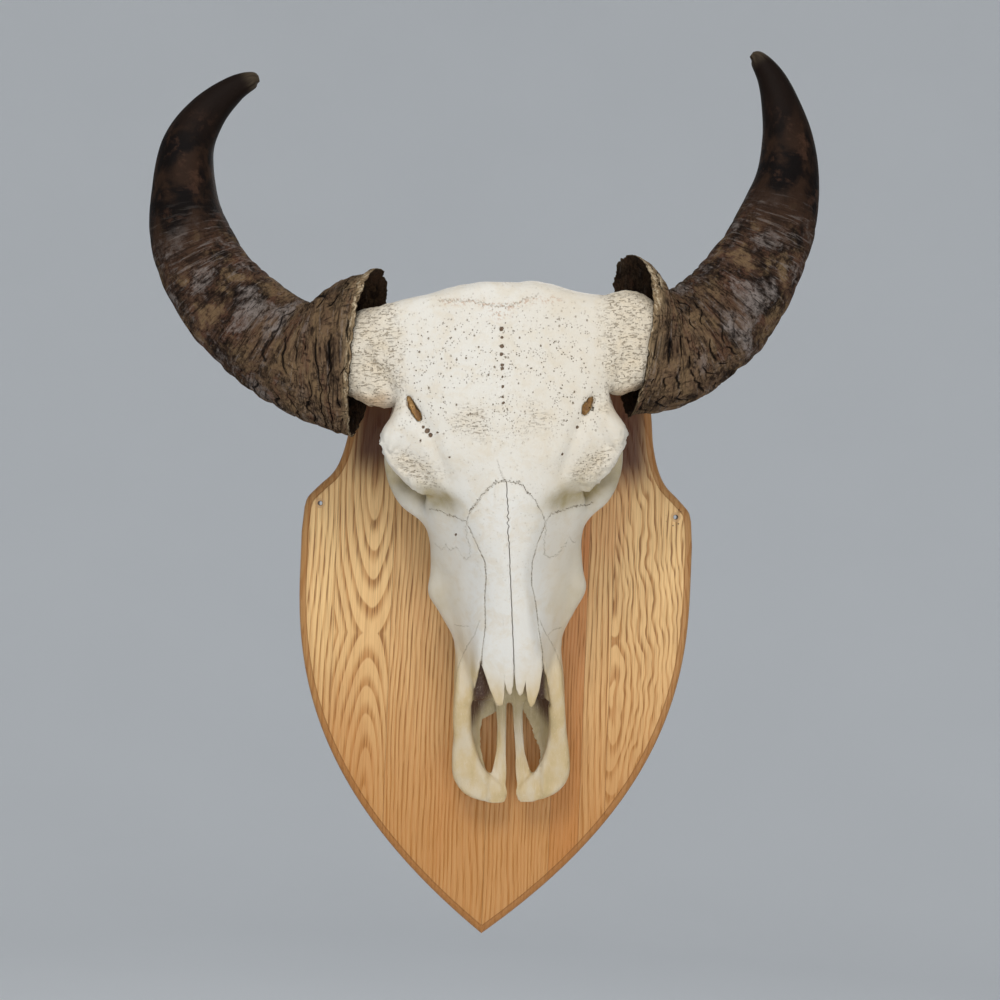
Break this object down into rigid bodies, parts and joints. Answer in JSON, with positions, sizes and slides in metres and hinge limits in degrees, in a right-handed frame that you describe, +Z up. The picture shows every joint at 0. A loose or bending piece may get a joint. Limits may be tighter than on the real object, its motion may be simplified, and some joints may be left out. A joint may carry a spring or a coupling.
{
  "type": "water buffalo skull",
  "caption": "Water buffalo skull with dark curved horn sheaths standing open round bony cores, fixed face out on an oak shield plaque for a wall.",
  "frame": {"origin": "on the plaque's back face, midway between its two wall-screw holes", "axes": "+Z up the wall, +Y into the wall, +X to the right of someone who looks at the front; the skull faces -Y"},
  "size_m": [0.6565, 0.2069, 0.902],
  "materials": {
    "bone": "matte, chalky white bone with cream and olive stains",
    "horn": "ringed and cracked dark horn, satin, smoother and darker at the tips",
    "oak": "satin varnish over glued oak strips",
    "screw_steel": "zinc plated"
  },
  "bodies": {
    "root": {"skull": "bone", "horn_sheath_left": "horn", "horn_sheath_right": "horn", "shield_plaque": "oak", "mounting_screw_upper": "screw_steel", "mounting_screw_lower": "screw_steel"}
  },
  "joints": []
}
